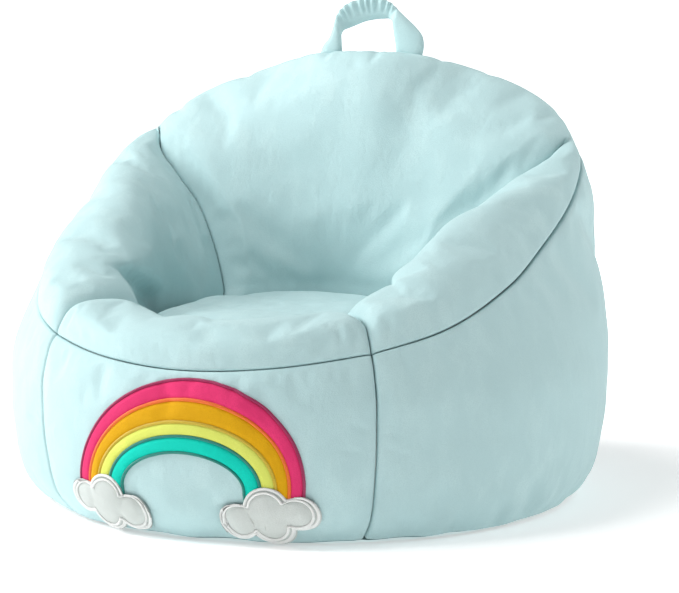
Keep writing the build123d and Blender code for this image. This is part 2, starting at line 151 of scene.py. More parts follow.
def rim_rows(angle, shares):
    """(reach, height) at these shares of the way over the rim, from the outer seam to the seat's edge."""
    seam_height, crown_height, inside = rim_sizes(angle)
    seam = wall_rows(angle, 0, seam_height, np.array([1.0]))[0, 0]
    crown, drop = seam - inside, crown_height - SEAT_EDGE_HEIGHT
    slope = crown - SEAT_RADIUS
    shoulder = (seam - 0.22 * inside, seam_height + 0.72 * (crown_height - seam_height))
    upper = (crown - 0.30 * slope, crown_height - 0.12 * drop)
    lower = (crown - 0.70 * slope, crown_height - 0.52 * drop)
    return along([(seam, seam_height), shoulder, (crown, crown_height), upper, lower,
                  (SEAT_RADIUS, SEAT_EDGE_HEIGHT)], shares)


def seat_height(reach):
    """Height of the domed seat, this far from its middle."""
    ball = (SEAT_RADIUS**2 + SEAT_CROWN**2) / (2 * SEAT_CROWN)
    return SEAT_EDGE_HEIGHT + SEAT_CROWN - ball + np.sqrt(ball**2 - reach**2)


# ---------------------------------------------------------------- the bag as one grid
SECTORS = {"right": (CORNER_ANGLE - 90, BACK_ANGLE, 68), "back": (BACK_ANGLE, 180 - BACK_ANGLE, 100),
           "left": (180 - BACK_ANGLE, 270 - CORNER_ANGLE, 68),
           "front": (270 - CORNER_ANGLE, 270 + CORNER_ANGLE, 76)}
BASE_ROWS, LOW_ROWS, ZIP_ROWS, HIGH_ROWS, RIM_ROWS, SEAT_ROWS = 7, 12, 3, 28, 38, 14

angles, starts = [], {}
for sector, (first, last, count) in SECTORS.items():
    starts[sector] = len(angles)
    angles += list(first + (last - first) * spread(count)[:-1])
COLUMNS = len(angles)
HEM_ROW = BASE_ROWS - 1
ZIP_LOW_ROW = HEM_ROW + LOW_ROWS
ZIP_HIGH_ROW = ZIP_LOW_ROW + ZIP_ROWS
SEAM_ROW = ZIP_HIGH_ROW + HIGH_ROWS
EDGE_ROW = SEAM_ROW + RIM_ROWS
ROWS = EDGE_ROW + SEAT_ROWS + 1


def column(angle):
    """One column of the grid as (reach, height), from beside the base's middle to beside the seat's."""
    low = wall_rows(angle, 0, ZIP_LOW, np.linspace(0, 1, LOW_ROWS + 1))
    zip_strip = wall_rows(angle, ZIP_LOW, ZIP_HIGH, np.linspace(0, 1, ZIP_ROWS + 1))[1:]
    high = wall_rows(angle, ZIP_HIGH, rim_sizes(angle)[0], spread(HIGH_ROWS))[1:]
    base = np.outer(np.linspace(0, 1, BASE_ROWS + 1)[1:-1], low[0])
    inward = SEAT_RADIUS * (1 - np.linspace(0, 1, SEAT_ROWS + 2)[1:-1])
    seat = np.stack([inward, seat_height(inward)], 1)
    return np.concatenate([base, low, zip_strip, high, rim_rows(angle, spread(RIM_ROWS))[1:], seat])


rays = np.radians(angles)
flat = np.stack([column(a) for a in angles], 1)
bag = np.stack([flat[..., 0] * np.cos(rays), flat[..., 0] * np.sin(rays) - SEAT_SETBACK, flat[..., 1]], -1)


UPPER_SLIDE, LOWER_SLIDE = 2.6, 4.6  # degrees that the seams between arms and backrest swing each way
SLIDE_SPREAD = 13.0  # degrees either side of those seams that swing with them


def slid(points):
    """The seams between arms and backrest slant, so their columns slide sideways over the rim."""
    share = np.clip((np.arange(ROWS) - SEAM_ROW) / RIM_ROWS, 0, 1)
    swing = UPPER_SLIDE * fade(share, 0.02, 0.2) * (1 - fade(share, 0.25, 0.6))
    swing = swing - LOWER_SLIDE * fade(share, 0.35, 1.0)
    swing = swing * (np.arange(ROWS) <= EDGE_ROW)
    ray = np.array(angles)
    left_seam, right_seam = (ray - 180 + BACK_ANGLE) / SLIDE_SPREAD, (ray - BACK_ANGLE) / SLIDE_SPREAD
    near = np.exp(-(left_seam**2)) - np.exp(-(right_seam**2))
    moved = points.copy()
    twice = np.r_[ray, ray + 360]
    for r in range(SEAM_ROW, EDGE_ROW):
        at = ray + swing[r] * near
        for k in range(3):
            values = np.r_[points[r, :, k], points[r, :, k]]
            moved[r, :, k] = np.interp((at - ray[0]) % 360 + ray[0], twice, values)
    return moved


bag = slid(bag)
base_middle = np.array([0, -SEAT_SETBACK, 0.0])
seat_middle = np.array([0, -SEAT_SETBACK, SEAT_EDGE_HEIGHT + SEAT_CROWN])


def normals_of(points):
    """Outward directions at the grid's points."""
    up = np.gradient(points, axis=0)
    around = np.roll(points, -1, 1) - np.roll(points, 1, 1)
    normal = np.cross(around, up)
    return normal / (np.linalg.norm(normal, axis=-1, keepdims=True) + TINY)


def runs(points):
    """Each point's distance up its column, and round its row from the first column."""
    up = np.linalg.norm(np.diff(points, axis=0), axis=-1).cumsum(0)
    around = np.linalg.norm(np.roll(points, -1, 1) - points, axis=-1).cumsum(1)
    return np.pad(up, ((1, 0), (0, 0))), np.pad(around, ((0, 0), (1, 0)))


up_run, round_run = runs(bag)
EDGES = {name: (starts[name], starts[name] + SECTORS[name][2]) for name in SECTORS}
column_at = np.arange(COLUMNS)
sector_of = np.array([next(n for n in EDGES if EDGES[n][0] <= c < EDGES[n][1]) for c in column_at])
row_at = np.arange(ROWS)[:, None] * np.ones(COLUMNS)


def from_corner(c):
    """Each point's distance round its row from a corner column."""
    total = round_run[:, -1:]
    gap = np.abs(round_run[:, :-1] - round_run[:, c % COLUMNS][:, None])
    return np.minimum(gap, total - gap)


def from_row(r):
    """Each point's distance up or down its column from a row."""
    return np.abs(up_run - up_run[r])


def per_sector(values, blur=5):
    """One number for each column, by sector, with the steps between sectors smoothed."""
    raw = np.array([values[s] for s in sector_of], float)
    return sum(np.roll(raw, k) for k in range(-blur, blur + 1)) / (2 * blur + 1)


def valley(distance, depth, width):
    """How far the cloth is pulled in, this far from a seam."""
    return depth * np.exp(-((distance / width) ** 1.1))


on_wall = (row_at >= HEM_ROW) & (row_at <= SEAM_ROW)
on_rim = (row_at >= SEAM_ROW) & (row_at <= EDGE_ROW)
rim_share = np.clip((row_at - SEAM_ROW) / RIM_ROWS, 0, 1)
below_seam = fade(row_at, SEAM_ROW - 6, SEAM_ROW)  # fades a rim crease out down the wall
CORNERS = {"right_back": EDGES["back"][0], "left_back": EDGES["left"][0],
           "left_front": EDGES["front"][0], "right_front": EDGES["right"][0]}

BACK_CREASE, FRONT_CREASE = (17.0, 15.0), (7.5, 6.0)  # depth and width
WALL_SEAM = (1.8, 4.0)

valleys = [
    valley(from_row(SEAM_ROW), per_sector({"right": 2.0, "left": 2.0, "back": 5.0, "front": 3.2}),
           per_sector({"right": 4.0, "left": 4.0, "back": 7.0, "front": 5.5})),
    valley(from_row(EDGE_ROW), per_sector({"right": 9, "left": 9, "back": 10, "front": 6}), 9.0),
    valley(from_row(HEM_ROW), 1.0, 3.0),
]
for name, c in CORNERS.items():
    gap = from_corner(c)
    crease_depth, crease_width = BACK_CREASE if "back" in name else FRONT_CREASE
    depth = crease_depth * (0.45 + 0.55 * fade(rim_share, 0.0, 0.3))
    depth = depth * below_seam * fade(EDGE_ROW + 5 - row_at, 0, 5)
    valleys.append(valley(gap, depth, crease_width))
    valleys.append(valley(gap, *WALL_SEAM) * on_wall * (1 - below_seam))
sink = np.sqrt(sum(v**2 for v in valleys))


def clear_of(*gaps, width):
    """0 on the seams and 1 well inside the panel."""
    share = 1.0
    for gap in gaps:
        share = share * (1 - np.exp(-gap / width))
    return share


corner_gap = np.minimum.reduce([from_corner(c) for c in CORNERS.values()])
rim_puff = clear_of(corner_gap, from_row(SEAM_ROW), from_row(EDGE_ROW), width=26.0)
rim_puff = rim_puff * per_sector({"right": -1.5, "left": 3, "back": 3.5, "front": -3.5})
wall_puff = clear_of(corner_gap, from_row(SEAM_ROW), from_row(HEM_ROW), width=22.0)
zip_side = per_sector({"right": 0, "left": 0, "back": 1, "front": 0}, blur=2)
near_zip = 1 - fade(np.minimum(from_row(ZIP_LOW_ROW), from_row(ZIP_HIGH_ROW)), 4, 26)
near_zip = np.where((row_at > ZIP_LOW_ROW) & (row_at < ZIP_HIGH_ROW), 1, near_zip) * zip_side
wall_puff = 0.5 * wall_puff * (1 - near_zip)
seat_puff = -3.0 * (row_at > EDGE_ROW)


WAVES = 14


def lumps(points, size, seed):
    """Soft uneven dents about this far apart, mostly between -1 and 1."""
    rng = np.random.RandomState(seed)
    total = 0
    for _ in range(WAVES):
        direction = rng.normal(size=3)
        direction /= np.linalg.norm(direction)
        pace = 2 * pi / (size * rng.uniform(0.7, 1.5))
        total = total + np.sin(points @ direction * pace + rng.uniform(0, 2 * pi))
    return total / np.sqrt(WAVES)


def stroke(points, line, depth, width):
    """A crease along a line of points."""
    line = np.asarray(line, float)
    nearest, share = np.full(points.shape[:-1], 1e9), np.zeros(points.shape[:-1])
    for i, (a, b) in enumerate(zip(line[:-1], line[1:])):
        t = np.clip(((points - a) @ (b - a)) / ((b - a) @ (b - a)), 0, 1)
        gap = np.linalg.norm(points - (a + t[..., None] * (b - a)), axis=-1)
        share = np.where(gap < nearest, (i + t) / (len(line) - 1), share)
        nearest = np.minimum(nearest, gap)
    ends = np.clip(4 * share * (1 - share), 0, 1) ** 0.6
    return depth * ends * np.exp(-((nearest / width) ** 2))


def spot(ray, share):
    """The grid's point on a ray, this share of the way over the rim from the outer seam to the seat."""
    c = int(np.argmin(np.abs((np.array(angles) - ray + 180) % 360 - 180)))
    return bag[SEAM_ROW + int(round(share * RIM_ROWS)), c]


def overlap_fold(points, normals, line, depth, width, bulge, reach):
    """A fold where the cloth on the left of the line swells over a hollow on its right."""
    line = np.asarray(line, float)
    nearest = np.full(points.shape[:-1], 1e9)
    side, share = np.zeros_like(nearest), np.zeros_like(nearest)
    for i, (a, b) in enumerate(zip(line[:-1], line[1:])):
        t = np.clip(((points - a) @ (b - a)) / ((b - a) @ (b - a)), 0, 1)
        offset = points - (a + t[..., None] * (b - a))
        gap = np.linalg.norm(offset, axis=-1)
        across = np.cross(b - a, normals)
        sign = np.sign((offset * across).sum(-1))
        side = np.where(gap < nearest, sign * gap, side)
        share = np.where(gap < nearest, (i + t) / (len(line) - 1), share)
        nearest = np.minimum(nearest, gap)
    hollow = np.where(side > 0, np.exp(-np.abs(side) / width), np.exp(-np.abs(side) / 1.8))
    swell = np.where(side < 0, (1 - np.exp(-np.abs(side) / 4)) * np.exp(-((side / reach) ** 2)), 0)
    return fade(share, 0.02, 0.45) * (bulge * swell - depth * hollow)


# On the left arm. The right arm has them mirrored and shallower.
ARM_FOLD = ((-124, -133, 195), (-114, -120, 193), (-109, -108, 188), (-107, -92, 181), (-108, -74, 173),
            (-111, -58, 164), (-112, -46, 154))
FOLD_SIZES = (12.0, 16.0, 4.5, 26.0)  # depth and width of the hollow, height and reach of the swell
RIGHT_FOLD, RIGHT_WRINKLES = 0.35, 0.5
ARM_WRINKLES = ((((-130, -128, 198), (-121, -119, 198), (-115, -111, 196)), 1.3, 2.6),
                (((-121, -127, 194), (-114, -119, 193), (-109, -113, 190), (-106, -103, 186)), 1.6, 2.6),
                (((-116, -141, 185), (-108, -127, 186), (-104, -113, 183), (-105, -95, 180)), 1.3, 3.0))


# Short creases that cross or leave a seam: ray, where they start and end over the rim, depth and width.
CREASES = ((-49, 0.05, 0.30, 1.8, 3.2), (-52.5, 0.10, 0.26, 1.5, 3.0), (-41, 0.06, 0.30, 1.0, 3.2),
           (-131, 0.05, 0.28, 1.5, 3.2), (83, 0.0, 0.10, 1.4, 3.0), (86.5, 0.0, 0.14, 1.7, 3.2),
           (91, 0.0, 0.09, 1.2, 3.2), (96.5, 0.0, 0.13, 1.6, 3.2), (101, 0.0, 0.16, 1.4, 3.4),
           (70, 0.0, 0.12, 1.2, 3.4), (60, 0.0, 0.10, 1.0, 3.4), (122, 0.0, 0.10, 1.0, 3.4),
           (44, 0.02, 0.16, 1.6, 4.0), (136, 0.02, 0.16, 1.6, 4.0))


def folds(points, normals):
    """Single creases, where the cloth is short or has been pressed: arms, corners and under the handle."""
    total = overlap_fold(points, normals, ARM_FOLD, *FOLD_SIZES)
    mirrored = [(-x, y + 6, z - 1) for x, y, z in reversed(ARM_FOLD)]
    total = total + RIGHT_FOLD * overlap_fold(points, normals, mirrored, *FOLD_SIZES)
    for line, depth, width in ARM_WRINKLES:
        total = total - stroke(points, line, depth, width)
        total = total - stroke(points, [(-x, y + 4, z) for x, y, z in line], RIGHT_WRINKLES * depth, width)
    bend = ((0, 0), (0.5, 0.6), (1, 0.2))  # share of the length, degrees off the ray
    for ray, first, last, depth, width in CREASES:
        line = [spot(ray + turn, first + (last - first) * share) for share, turn in bend]
        total = total - stroke(points, line, depth, width)
    return total


free = clear_of(corner_gap, from_row(SEAM_ROW), from_row(EDGE_ROW), width=14.0) * (1 - near_zip)
free = np.where(row_at < HEM_ROW, 0, free)
shape_normals = normals_of(bag)
lift = rim_puff * on_rim + wall_puff * on_wall + seat_puff - sink
lift = lift + free * (lumps(bag, 95, 3) + 0.6 * lumps(bag, 42, 5))
lift = lift + folds(bag, shape_normals)
lift = np.where(row_at < HEM_ROW, 0, lift) * (1 - near_zip)
bag = bag + shape_normals * lift[..., None]


# ---------------------------------------------------------------- meshes
def grid_faces(rows, columns, wrap=False):
    """Quads between the points of a grid that is stored row by row."""
    faces = []
    for r in range(rows - 1):
        for c in range(columns if wrap else columns - 1):
            d = (c + 1) % columns
            faces.append((r * columns + c, r * columns + d, (r + 1) * columns + d, (r + 1) * columns + c))
    return faces


def new_object(name, points, faces):
    """An object in the scene, from points in millimetres."""
    mesh = bpy.data.meshes.new(name)
    mesh.from_pydata((np.asarray(points).reshape(-1, 3) * MM).tolist(), [], faces)
    mesh.update()
    mesh.shade_smooth()
    obj = bpy.data.objects.new(name, mesh)
    bpy.context.scene.collection.objects.link(obj)
    return obj


def piece(name, points, faces, material, body="bag", replaced=(), levels=0):
    """A finished piece: its mesh, finish, the body it is attached to and the CAD nodes that it stands for.
    """
    obj = new_object(name, points, faces)
    obj.data.materials.append(material)
    if levels:
        obj.modifiers.new("smooth", "SUBSURF").levels = levels
        obj.modifiers["smooth"].render_levels = levels
    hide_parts(*replaced)
    if body:
        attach(obj, body)
    return obj


PRESSURE, FRAMES, FURTHEST = 4.0, 20, 5.0


def settle(points, held):
    """The cover blown up by cloth simulation, held at its seams, with each point's move limited."""
    faces = grid_faces(ROWS, COLUMNS, wrap=True)
    bottom, top = len(points), len(points) + 1
    faces += [(bottom, (c + 1) % COLUMNS, c) for c in range(COLUMNS)]
    last = (ROWS - 1) * COLUMNS
    faces += [(top, last + c, last + (c + 1) % COLUMNS) for c in range(COLUMNS)]
    closed = np.concatenate([points, [base_middle, seat_middle]])
    obj = new_object("cover_in_simulation", closed, faces)
    group = obj.vertex_groups.new(name="held")
    for level in np.unique(np.round(held, 2)):
        group.add(np.where(np.round(held, 2) == level)[0].tolist(), float(level), "REPLACE")
    group.add([bottom, top], 1.0, "REPLACE")
    cloth = obj.modifiers.new("cloth", "CLOTH").settings
    cloth.quality = 4
    cloth.mass = 0.3
    cloth.tension_stiffness = cloth.compression_stiffness = 20
    cloth.shear_stiffness = 8
    cloth.bending_stiffness = 1.5
    cloth.use_pressure = True
    cloth.uniform_pressure_force = PRESSURE
    cloth.shrink_min = cloth.shrink_max = -0.012
    cloth.vertex_group_mass = "held"
    cloth.effector_weights.gravity = 0
    obj.modifiers["cloth"].collision_settings.use_collision = False
    obj.modifiers["cloth"].point_cache.frame_end = FRAMES
    for number in range(1, FRAMES + 1):
        bpy.context.scene.frame_set(number)
    shown = obj.evaluated_get(bpy.context.evaluated_depsgraph_get())
    moved = np.zeros(len(closed) * 3)
    shown.data.vertices.foreach_get("co", moved)
    moved = moved.reshape(-1, 3)[:-2] / MM - points
    bpy.data.objects.remove(obj)
    bpy.context.scene.frame_set(1)
    length = np.linalg.norm(moved, axis=1, keepdims=True)
    return points + moved * np.minimum(1, FURTHEST / np.maximum(length, TINY))


def blurred(field, radius):
    """The field averaged over its neighbours, round each row and up each column."""
    for _ in range(2):
        field = sum(np.roll(field, k, 1) for k in range(-radius, radius + 1)) / (2 * radius + 1)
        edged = np.pad(field, ((radius, radius), (0, 0), (0, 0)), mode="edge")
        field = sum(edged[k:k + len(field)] for k in range(2 * radius + 1)) / (2 * radius + 1)
    return field


seam_gap = np.minimum(corner_gap, np.minimum(from_row(SEAM_ROW), from_row(EDGE_ROW)))
held = np.clip(1 - fade(seam_gap, 0, 9) + near_zip, 0, 1)
held = np.where(row_at <= HEM_ROW + 1, 1, held)
swell = settle(bag.reshape(-1, 3), held.ravel()).reshape(bag.shape) - bag
bag = bag + (swell - 0.8 * blurred(swell, 6)) * (1 - held[..., None])  # the shape above is already full
bag[..., 2] = np.maximum(bag[..., 2], 0)
normals = normals_of(bag)


# ---------------------------------------------------------------- finishes
def linear(red, green, blue):
    """Screen colour, 0 to 255, as the shader's own numbers."""
    found = []
    for value in (red, green, blue):
        v = value / 255
        found.append(v / 12.92 if v <= 0.04045 else ((v + 0.055) / 1.055) ** 2.4)
    return (*found, 1.0)


def mix_of(tree, share, low, high):
    """One colour blended into another, each a colour or a socket."""
    node = tree.nodes.new("ShaderNodeMix")
    node.data_type = "RGBA"
    tree.links.new(share, node.inputs["Factor"])
    for socket, value in (("A", low), ("B", high)):
        target = next(s for s in node.inputs if s.name == socket and s.type == "RGBA")
        if isinstance(value, tuple):
            target.default_value = value
        else:
            tree.links.new(value, target)
    return next(s for s in node.outputs if s.type == "RGBA")


def noise_of(tree, coordinates, scale, detail=3.0, stretch=(1, 1, 1)):
    place = tree.nodes.new("ShaderNodeMapping")
    place.inputs["Scale"].default_value = stretch
    tree.links.new(coordinates, place.inputs["Vector"])
    noise = tree.nodes.new("ShaderNodeTexNoise")
    noise.inputs["Scale"].default_value = scale
    noise.inputs["Detail"].default_value = detail
    tree.links.new(place.outputs[0], noise.inputs["Vector"])
    return noise.outputs["Fac"]


def ramp_of(tree, value, low, high):
    ramp = tree.nodes.new("ShaderNodeMapRange")
    ramp.inputs["From Min"].default_value = low
    ramp.inputs["From Max"].default_value = high
    ramp.interpolation_type = "SMOOTHSTEP"
    tree.links.new(value, ramp.inputs["Value"])
    return ramp.outputs["Result"]


def bump_of(tree, height, distance, strength, before=None):
    bump = tree.nodes.new("ShaderNodeBump")
    bump.inputs["Distance"].default_value = distance
    bump.inputs["Strength"].default_value = strength
    tree.links.new(height, bump.inputs["Height"])
    if before is not None:
        tree.links.new(before, bump.inputs["Normal"])
    return bump.outputs["Normal"]


def shaded(colour):
    """The same colour in its own shade."""
    return tuple(c * 0.72 for c in colour[:3]) + (1.0,)


def new_material(name):
    material = bpy.data.materials.new(name)
    material.use_nodes = True
    tree = material.node_tree
    place = tree.nodes.new("ShaderNodeTexCoord").outputs["Object"]
    return material, tree, place, tree.nodes["Principled BSDF"]


def between(colour, deep, share):
    """A colour this share of the way to a deeper one."""
    return tuple((1 - share) * c + share * d for c, d in zip(colour, deep))


def velour(name, colour, deep, sheen):
    """Short-pile plush: brushed patches a hand wide, finer streaks, and the pile itself."""
    material, tree, place, shader = new_material(name)
    brushed = ramp_of(tree, noise_of(tree, place, 11, 2.0), 0.36, 0.66)
    streaks = ramp_of(tree, noise_of(tree, place, 70, 4.0, (1, 1, 0.45)), 0.40, 0.64)
    tufts = noise_of(tree, place, 1500, 2.0)
    base = mix_of(tree, brushed, between(colour, deep, 0.25), colour)
    soft = mix_of(tree, streaks, between(colour, deep, 0.30), base)
    grain = mix_of(tree, ramp_of(tree, tufts, 0.30, 0.62), between(colour, deep, 0.45), soft)
    tree.links.new(grain, shader.inputs["Base Color"])
    shader.inputs["Roughness"].default_value = 0.88
    shader.inputs["Specular IOR Level"].default_value = 0.25
    shader.inputs["Sheen Weight"].default_value = sheen
    shader.inputs["Sheen Roughness"].default_value = 0.45
    shader.inputs["Sheen Tint"].default_value = tuple(min(1, 0.35 + c) for c in colour[:3]) + (1.0,)
    normal = bump_of(tree, streaks, 0.0006, 0.35)
    normal = bump_of(tree, tufts, 0.0005, 0.6, normal)
    tree.links.new(normal, shader.inputs["Normal"])
    return material


def thread(name, colour, gloss=0.45):
    """Shiny embroidery thread."""
    material, tree, place, shader = new_material(name)
    strands = noise_of(tree, place, 900, 2.0, (1, 1, 3))
    tree.links.new(mix_of(tree, strands, shaded(colour), colour), shader.inputs["Base Color"])
    shader.inputs["Roughness"].default_value = gloss
    shader.inputs["Sheen Weight"].default_value = 0.2
    tree.links.new(bump_of(tree, strands, 0.0002, 0.5), shader.inputs["Normal"])
    return material


def woven(name, colour, pitch=1600.0, rough=0.8):
    """Plain weave cloth or tape."""
    material, tree, place, shader = new_material(name)
    checks = []
    for direction in ("X", "Z"):
        wave = tree.nodes.new("ShaderNodeTexWave")
        wave.bands_direction = direction
        wave.inputs["Scale"].default_value = pitch / 6
        tree.links.new(place, wave.inputs["Vector"])
        checks.append(wave.outputs["Fac"])
    both = tree.nodes.new("ShaderNodeMath")
    both.operation = "MAXIMUM"
    tree.links.new(checks[0], both.inputs[0])
    tree.links.new(checks[1], both.inputs[1])
    tree.links.new(mix_of(tree, both.outputs[0], shaded(colour), colour), shader.inputs["Base Color"])
    shader.inputs["Roughness"].default_value = rough
    tree.links.new(bump_of(tree, both.outputs[0], 0.0003, 0.6), shader.inputs["Normal"])
    return material


def fluffy(name, colour):
    """Loose fibre or beads."""
    material, tree, place, shader = new_material(name)
    clumps = noise_of(tree, place, 160, 5.0)
    tree.links.new(mix_of(tree, clumps, shaded(colour), colour), shader.inputs["Base Color"])
    shader.inputs["Roughness"].default_value = 0.95
    tree.links.new(bump_of(tree, clumps, 0.003, 0.8), shader.inputs["Normal"])
    return material


def metal(name, colour):
    """Plated metal with faint marks."""
    material, tree, place, shader = new_material(name)
    marks = noise_of(tree, place, 400, 4.0)
    tree.links.new(mix_of(tree, marks, shaded(colour), colour), shader.inputs["Base Color"])
    shader.inputs["Metallic"].default_value = 1.0
    shader.inputs["Roughness"].default_value = 0.28
    tree.links.new(bump_of(tree, marks, 0.0001, 0.3), shader.inputs["Normal"])
    return material


AQUA = velour("aqua_velour", linear(190, 218, 219), linear(160, 194, 198), 0.3)
PINK = velour("pink_velour", linear(228, 58, 116), linear(196, 36, 92), 0.06)
MUSTARD = velour("mustard_velour", linear(222, 168, 8), linear(190, 136, 4), 0.06)
YELLOW = velour("yellow_velour", linear(222, 230, 112), linear(196, 204, 80), 0.06)
TEAL = velour("teal_velour", linear(0, 212, 190), linear(0, 176, 158), 0.06)
CLOUD = velour("cloud_velour", linear(206, 212, 209), linear(176, 184, 180), 0.2)
MAGENTA_THREAD = thread("magenta_thread", linear(168, 16, 88))
ORANGE_THREAD = thread("orange_thread", linear(250, 116, 20))
GOLD_THREAD = thread("gold_thread", linear(214, 184, 40))
TEAL_THREAD = thread("teal_thread", linear(0, 136, 124))
WHITE_THREAD = thread("white_thread", linear(246, 248, 246))
BASE_CLOTH = woven("base_cloth", linear(176, 214, 216))
LINER = woven("liner_cloth", linear(225, 228, 225))
TAPE = woven("zip_tape", linear(150, 204, 210), 2400.0)
FIBRE = fluffy("fibre", linear(240, 240, 236))
BEADS = fluffy("beads", linear(245, 245, 245))
COIL = thread("coil_nylon", linear(150, 200, 206), 0.3)
METAL = metal("zip_metal", linear(198, 200, 204))
LABEL = woven("label_satin", linear(244, 244, 240), 3000.0, 0.4)

# ---------------------------------------------------------------- sewn panels
SEAM_SHARE = 0.10  # how far an edge is drawn back from the seam line, as a share of one grid step
TUCK, ZIP_TUCK = 6.0, 1.5  # depth of the edge that is turned in at a seam, and at the zip
FLOOR_GAP = 0.4


def sewn_panel(name, sector, first_row, last_row, replaced, tuck=TUCK):
    """One panel: its stretch of the grid with every edge drawn back from the seam and turned in."""
    first, last = EDGES[sector]
    chosen = [c % COLUMNS for c in range(first, last + 1)]
    face = bag[first_row:last_row + 1][:, chosen].copy()
    out = normals[first_row:last_row + 1][:, chosen]
    face[0] += SEAM_SHARE * (face[1] - face[0])
    face[-1] += SEAM_SHARE * (face[-2] - face[-1])
    face[:, 0] += SEAM_SHARE * (face[:, 1] - face[:, 0])
    face[:, -1] += SEAM_SHARE * (face[:, -2] - face[:, -1])
    edged = np.pad(face, ((1, 1), (1, 1), (0, 0)), mode="edge")
    out = np.pad(out, ((1, 1), (1, 1), (0, 0)), mode="edge")
    depth = np.full(edged.shape[:2], tuck)
    depth[1:-1, 1:-1] = 0
    edged = edged - out * depth[..., None]
    edged[..., 2] = np.maximum(edged[..., 2], FLOOR_GAP)
    faces = grid_faces(*edged.shape[:2])
    return piece(name, edged, faces, AQUA, replaced=replaced, levels=1)


def round_panel(name, rows, middle, replaced, material, flip=False, tuck=TUCK):
    """The seat or the base: rings of the grid from the edge in to the middle, with the edge turned in."""
    rings = bag[rows].copy()
    rings[0] += 2 * SEAM_SHARE * (rings[1] - rings[0])
    turned = rings[0] - normals[rows[0]] * tuck
    points = np.concatenate([turned[None], rings]).reshape(-1, 3)
    faces = grid_faces(len(rows) + 1, COLUMNS, wrap=True)
    ring = len(rows) * COLUMNS
    faces += [(ring + c, ring + (c + 1) % COLUMNS, ring + COLUMNS) for c in range(COLUMNS)]
    if flip:
        faces = [tuple(reversed(f)) for f in faces]
    points = np.concatenate([points, [middle]])
    return piece(name, points, faces, material, replaced=replaced, levels=1)


seat_rise = bag[-1, :, 2].mean() + 0.4
round_panel("seat_velour", list(range(EDGE_ROW, ROWS)), np.array([0, -SEAT_SETBACK, seat_rise]),
            ["seat_panel"], AQUA)
round_panel("base_cloth", list(range(HEM_ROW, -1, -1)), base_middle, ["base_panel"],
            BASE_CLOTH, flip=True, tuck=0.0)
front_cover = sewn_panel("front_velour", "front", HEM_ROW, SEAM_ROW, ["front_panel"])
sewn_panel("left_side_velour", "left", HEM_ROW, SEAM_ROW, ["left_side_panel"])
sewn_panel("right_side_velour", "right", HEM_ROW, SEAM_ROW, ["right_side_panel"])
sewn_panel("rear_lower_velour", "back", HEM_ROW, ZIP_LOW_ROW, ["rear_lower_panel"], tuck=ZIP_TUCK)
rear_cover = sewn_panel("rear_upper_velour", "back", ZIP_HIGH_ROW, SEAM_ROW, ["rear_upper_panel"],
                        tuck=ZIP_TUCK)
sewn_panel("front_roll_velour", "front", SEAM_ROW, EDGE_ROW, ["front_roll_panel"])
sewn_panel("left_arm_velour", "left", SEAM_ROW, EDGE_ROW, ["left_arm_panel"])
sewn_panel("right_arm_velour", "right", SEAM_ROW, EDGE_ROW, ["right_arm_panel"])
sewn_panel("backrest_velour", "back", SEAM_ROW, EDGE_ROW, ["backrest_panel"])


WALL_SLACK, SEAT_SLACK, COVER_SLACK = 4.0, 5.0, 8.0  # bead bag to walls, to seat, and stuffing to its cover
BOSS_SHOULDER = 140.0  # height at which the bead bag's boss starts to round in under the seat


def bead_bag(name, inset, replaced, material):
    """The bead bag, or the beads in it: closed, inside the walls, with a round boss up under the seat."""
    top = BEAD_TOP - inset
    base = bag[:HEM_ROW] * 0.97
    base[..., 2] = 1.0 + inset
    wall = [r for r in range(HEM_ROW + 1, SEAM_ROW) if bag[r, :, 2].max() < top - 2]
    sides = bag[wall] - (WALL_SLACK + inset) * normals[wall]
    ray = rays[None, :]
    rings = []
    shoulder = (SEAT_RADIUS - 7 - inset, BOSS_SHOULDER)
    for reach, height in ((None, top), (SEAT_RADIUS - 4 - inset, top), shoulder):
        ring = sides[-1].copy()[None]
        if reach:
            ring[..., 0], ring[..., 1] = reach * np.cos(ray), reach * np.sin(ray) - SEAT_SETBACK
        ring[..., 2] = height
        rings.append(ring)
    boss = bag[EDGE_ROW + 2:].copy()
    boss[..., 2] -= SEAT_SLACK + inset
    points = np.concatenate([base, sides, *rings, boss])
    count = len(points)
    faces = grid_faces(count, COLUMNS, wrap=True)
    low, high = count * COLUMNS, count * COLUMNS + 1
    faces += [(low, (c + 1) % COLUMNS, c) for c in range(COLUMNS)]
    last = low - COLUMNS
    faces += [(high, last + c, last + (c + 1) % COLUMNS) for c in range(COLUMNS)]
    poles = [[0, -SEAT_SETBACK, 1.0 + inset], [0, -SEAT_SETBACK, boss[-1, :, 2].mean() + 0.2]]
    points = np.concatenate([points.reshape(-1, 3), poles])
    return piece(name, points, faces, material, replaced=replaced)


bead_bag("bead_bag_cloth", 0.0, ["inner_liner"], LINER)
bead_bag("beads", 1.6, ["bead_fill"], BEADS)


def stuffing(name, sector, replaced):
    """Fibre filling under one stretch of the rim: a closed form a little inside its panels."""
    first, last = EDGES[sector]
    chosen = [c % COLUMNS for c in range(first + 2, last - 1, 2)]
    rows = list(range(SEAM_ROW - 8, EDGE_ROW - 1, 2))
    loop = bag[rows][:, chosen] - COVER_SLACK * normals[rows][:, chosen]
    loop[..., 2] = np.maximum(loop[..., 2], BEAD_TOP + 4)
    inner, outer = loop[-1].copy(), loop[0].copy()
    inner[:, 2] = outer[:, 2] = BEAD_TOP + 2
    loop = np.concatenate([loop, inner[None], outer[None]])
    count, across = loop.shape[:2]
    faces = []
    for r in range(count):
        this, after = r * across, (r + 1) % count * across
        faces += [(this + c, this + c + 1, after + c + 1, after + c) for c in range(across - 1)]
    faces.append(tuple(r * across for r in range(count)))
    faces.append(tuple(r * across + across - 1 for r in reversed(range(count))))
    return piece(name, loop, faces, FIBRE, replaced=replaced)


